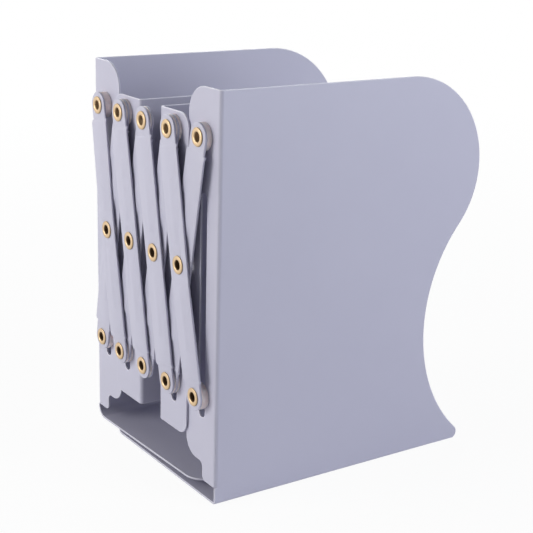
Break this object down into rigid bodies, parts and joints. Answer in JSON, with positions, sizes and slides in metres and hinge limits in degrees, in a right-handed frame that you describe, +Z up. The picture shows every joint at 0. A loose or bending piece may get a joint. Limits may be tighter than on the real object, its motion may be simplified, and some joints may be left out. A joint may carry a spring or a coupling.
{
  "type": "expanding bookend",
  "caption": "Expanding bookend of folded sheet steel: S-edged end frames and L-shaped dividers on a lazy-tongs linkage with hollow eyelets.",
  "frame": {"origin": "middle of the base of the whole object's box at rest, on the surface it stands on", "axes": "+X is the way the bookend expands, from the left end frame to the right one; +Y is the open side with the S-shaped edges, away from the linkage; +Z is up"},
  "size_m": [0.114, 0.1522, 0.185],
  "materials": {
    "powder_coat": "pale lavender grey satin powder coat on steel",
    "brass_eyelet": "pale polished brass",
    "nylon_washer": "translucent pinkish white nylon"
  },
  "bodies": {
    "end_frame_left": {"end_frame_left": "powder_coat", "eyelet_top_1": "brass_eyelet", "spacer_top_1": "nylon_washer"},
    "front_arm_1": {"front_arm_1": "powder_coat", "eyelet_middle_1": "brass_eyelet", "washer_middle_1": "nylon_washer"},
    "rear_arm_1": {"rear_arm_1": "powder_coat", "eyelet_bottom_1": "brass_eyelet", "eyelet_top_2": "brass_eyelet", "spacer_bottom_1": "nylon_washer", "washer_top_2": "nylon_washer", "washer_top_2_rear": "nylon_washer"},
    "front_arm_2": {"front_arm_2": "powder_coat", "eyelet_middle_2": "brass_eyelet", "washer_middle_2": "nylon_washer"},
    "rear_arm_2": {"rear_arm_2": "powder_coat", "eyelet_bottom_2": "brass_eyelet", "eyelet_top_3": "brass_eyelet", "washer_bottom_2": "nylon_washer", "washer_bottom_2_rear": "nylon_washer", "washer_top_3": "nylon_washer"},
    "front_arm_3": {"front_arm_3": "powder_coat", "eyelet_middle_3": "brass_eyelet", "washer_middle_3": "nylon_washer"},
    "rear_arm_3": {"rear_arm_3": "powder_coat", "eyelet_bottom_3": "brass_eyelet", "eyelet_top_4": "brass_eyelet", "washer_bottom_3": "nylon_washer", "washer_top_4": "nylon_washer", "washer_top_4_rear": "nylon_washer"},
    "front_arm_4": {"front_arm_4": "powder_coat", "eyelet_middle_4": "brass_eyelet", "washer_middle_4": "nylon_washer", "eyelet_bottom_5": "brass_eyelet", "spacer_bottom_5": "nylon_washer"},
    "rear_arm_4": {"rear_arm_4": "powder_coat", "eyelet_bottom_4": "brass_eyelet", "eyelet_top_5": "brass_eyelet", "washer_bottom_4": "nylon_washer", "washer_bottom_4_rear": "nylon_washer", "spacer_top_5": "nylon_washer"},
    "divider_left": {"divider_left": "powder_coat"},
    "divider_right": {"divider_right": "powder_coat"},
    "end_frame_right": {"end_frame_right": "powder_coat"}
  },
  "joints": [
    {"name": "expand", "type": "hinge", "parent": "end_frame_left", "child": "front_arm_1", "pos_m": [-0.045, -0.0695, 0.1643], "axis": [0, -1, 0], "range_deg": [-1.6, 64]},
    {"name": "middle_pivot_1", "type": "hinge", "parent": "front_arm_1", "child": "rear_arm_1", "pos_m": [-0.03375, -0.0695, 0.1065], "axis": [0, -1, 0], "range_deg": [-128, 3.2]},
    {"name": "top_pivot_2", "type": "hinge", "parent": "rear_arm_1", "child": "front_arm_2", "pos_m": [-0.0225, -0.0695, 0.1643], "axis": [0, -1, 0], "range_deg": [-3.2, 128]},
    {"name": "middle_pivot_2", "type": "hinge", "parent": "front_arm_2", "child": "rear_arm_2", "pos_m": [-0.01125, -0.0695, 0.1065], "axis": [0, -1, 0], "range_deg": [-128, 3.2]},
    {"name": "top_pivot_3", "type": "hinge", "parent": "rear_arm_2", "child": "front_arm_3", "pos_m": [0, -0.0695, 0.1643], "axis": [0, -1, 0], "range_deg": [-3.2, 128]},
    {"name": "middle_pivot_3", "type": "hinge", "parent": "front_arm_3", "child": "rear_arm_3", "pos_m": [0.01125, -0.0695, 0.1065], "axis": [0, -1, 0], "range_deg": [-128, 3.2]},
    {"name": "top_pivot_4", "type": "hinge", "parent": "rear_arm_3", "child": "front_arm_4", "pos_m": [0.0225, -0.0695, 0.1643], "axis": [0, -1, 0], "range_deg": [-3.2, 128]},
    {"name": "middle_pivot_4", "type": "hinge", "parent": "front_arm_4", "child": "rear_arm_4", "pos_m": [0.03375, -0.0695, 0.1065], "axis": [0, -1, 0], "range_deg": [-128, 3.2]},
    {"name": "top_pivot_5", "type": "hinge", "parent": "rear_arm_4", "child": "end_frame_right", "pos_m": [0.045, -0.0695, 0.1643], "axis": [0, -1, 0], "range_deg": [-1.6, 64]},
    {"name": "divider_left_pivot", "type": "hinge", "parent": "rear_arm_1", "child": "divider_left", "pos_m": [-0.0225, -0.0695, 0.1643], "axis": [0, -1, 0], "range_deg": [-1.6, 64]},
    {"name": "divider_right_pivot", "type": "hinge", "parent": "rear_arm_3", "child": "divider_right", "pos_m": [0.0225, -0.0695, 0.1643], "axis": [0, -1, 0], "range_deg": [-1.6, 64]}
  ],
  "couplings": [
    {"joint": "middle_pivot_1", "follows": "expand", "ratio": -2},
    {"joint": "top_pivot_2", "follows": "expand", "ratio": 2},
    {"joint": "middle_pivot_2", "follows": "expand", "ratio": -2},
    {"joint": "top_pivot_3", "follows": "expand", "ratio": 2},
    {"joint": "middle_pivot_3", "follows": "expand", "ratio": -2},
    {"joint": "top_pivot_4", "follows": "expand", "ratio": 2},
    {"joint": "middle_pivot_4", "follows": "expand", "ratio": -2},
    {"joint": "top_pivot_5", "follows": "expand", "ratio": 1},
    {"joint": "divider_left_pivot", "follows": "expand", "ratio": 1},
    {"joint": "divider_right_pivot", "follows": "expand", "ratio": 1}
  ]
}
